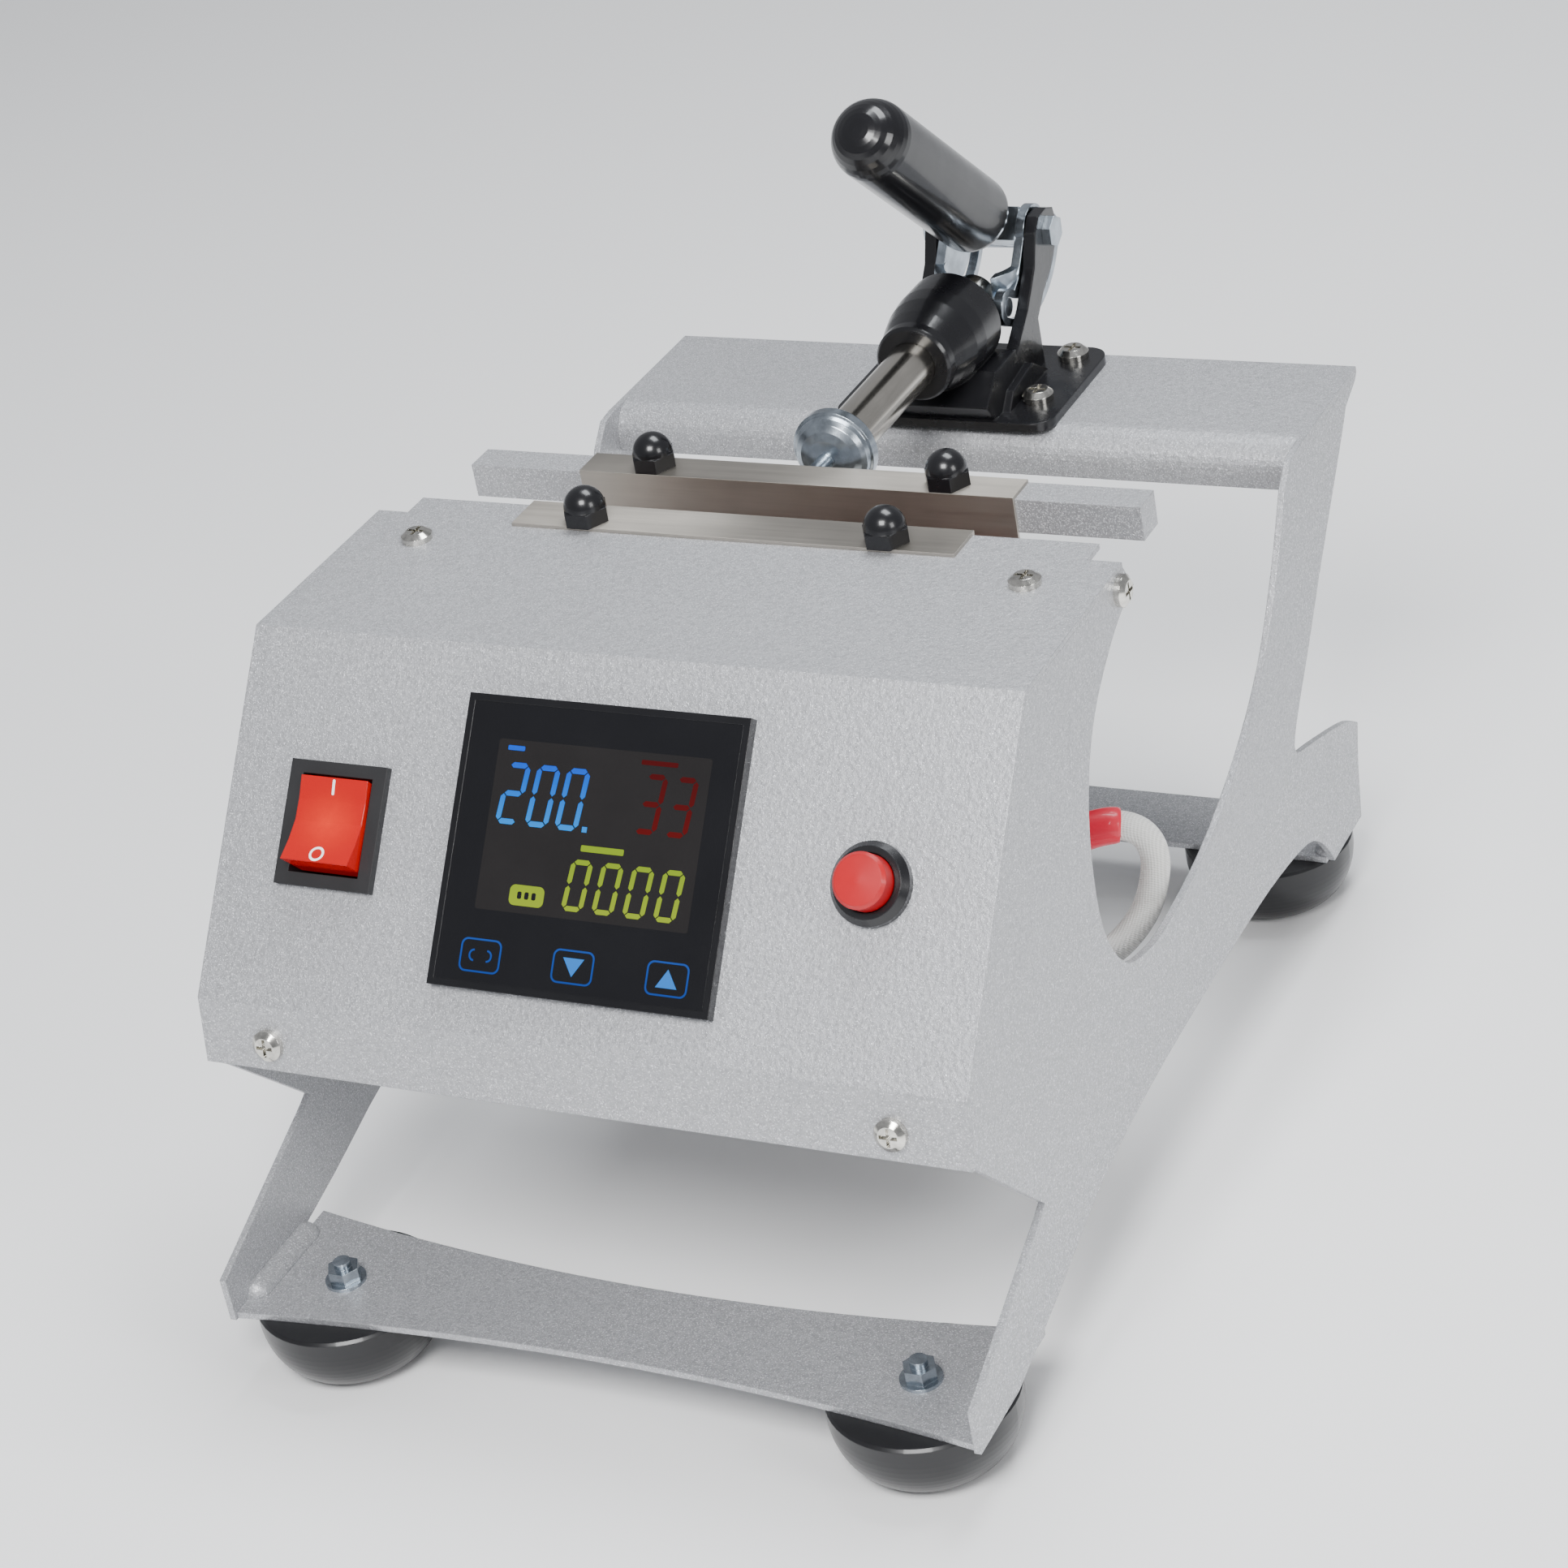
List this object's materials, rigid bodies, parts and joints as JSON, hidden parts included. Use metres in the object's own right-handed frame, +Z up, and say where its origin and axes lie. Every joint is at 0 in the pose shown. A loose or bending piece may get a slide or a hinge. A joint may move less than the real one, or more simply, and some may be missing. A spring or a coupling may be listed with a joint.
{
  "type": "mug heat press",
  "caption": "Bench press with a hinged lever clamp that wraps a heated loop round a mug, with a sloped control box, timer display, rocker switch and push button.",
  "frame": {"origin": "middle of the footprint, on the floor under the feet", "axes": "+Z up, front (control panel) at -Y, +X to the viewer's right when facing the panel"},
  "size_m": [0.2406, 0.3786, 0.2791],
  "materials": {
    "silver_powder_paint": "fine textured silver-grey powder coat",
    "weld_paint": "powder coat over a weld bead",
    "black_rubber": "glossy black rubber",
    "zinc_plate": "bright zinc plate",
    "nickel_screw": "nickel plate",
    "black_gloss_plastic": "glossy black",
    "black_matt_plastic": "matt black",
    "display_glass": "black glass with lit digits",
    "red_rocker": "translucent red, lit",
    "red_button": "glossy red",
    "pale_plastic": "moulded",
    "stainless": "brushed stainless",
    "red_silicone": "silicone rubber",
    "white_sleeve": "braided glass-fibre sleeve",
    "red_sleeve": "heat-shrink",
    "black_cast": "glossy black enamel",
    "black_grip": "dipped glossy vinyl"
  },
  "bodies": {
    "frame": {"left_side_plate": "silver_powder_paint", "right_side_plate": "silver_powder_paint", "front_foot_rail": "silver_powder_paint", "rear_foot_rail": "silver_powder_paint", "clamp_bridge": "silver_powder_paint", "weld_beads": "weld_paint", "feet": "black_rubber", "foot_bolts": "zinc_plate", "front_cover": "silver_powder_paint", "box_pan": "silver_powder_paint", "cover_screws": "nickel_screw", "side_screws": "nickel_screw", "display_bezel": "black_gloss_plastic", "display_glass": "display_glass", "controller_body": "black_matt_plastic", "rocker_bezel": "black_matt_plastic", "button_collar": "black_gloss_plastic", "button_nut": "zinc_plate", "relay": "black_matt_plastic", "terminal_block": "pale_plastic", "power_gland": "black_matt_plastic", "front_jacket": "stainless", "front_heater": "red_silicone", "strip_bolts": "zinc_plate", "front_caps": "black_gloss_plastic", "heater_cable": "white_sleeve", "cable_collar": "red_sleeve", "cable_grommet": "black_rubber", "clamp_body": "black_cast", "clamp_bolts": "zinc_plate", "pivot_bolt": "zinc_plate"},
    "handle": {"handle_yoke": "zinc_plate", "handle_rod": "stainless", "handle_grip": "black_grip"},
    "carriage": {"slide_bar": "silver_powder_paint", "rear_jacket": "stainless", "rear_heater": "red_silicone", "bar_bolts": "zinc_plate", "rear_caps": "black_gloss_plastic", "plunger_rod": "stainless", "plunger_head": "zinc_plate", "cross_pin": "zinc_plate"},
    "rocker": {"rocker_button": "red_rocker"},
    "push_button": {"button_cap": "red_button"}
  },
  "joints": [
    {"name": "handle_hinge", "type": "hinge", "parent": "frame", "child": "handle", "pos_m": [0, 0.1704, 0.2065], "axis": [-1, 0, 0], "range_deg": [0, 65]},
    {"name": "plunger_slide", "type": "slide", "parent": "frame", "child": "carriage", "axis": [0, 1, 0], "range_m": [0, 0.026]},
    {"name": "rocker_hinge", "type": "hinge", "parent": "frame", "child": "rocker", "pos_m": [-0.0815, -0.12765, 0.15762], "axis": [1, 0, 0], "range_deg": [0, 20]},
    {"name": "button_press", "type": "slide", "parent": "frame", "child": "push_button", "axis": [0, 0.7732, -0.6342], "range_m": [0, 0.0025], "stiffness_N_per_m": 400}
  ],
  "couplings": [
    {"joint": "plunger_slide", "follows": "handle_hinge", "m_per_rad": 0.022918}
  ]
}
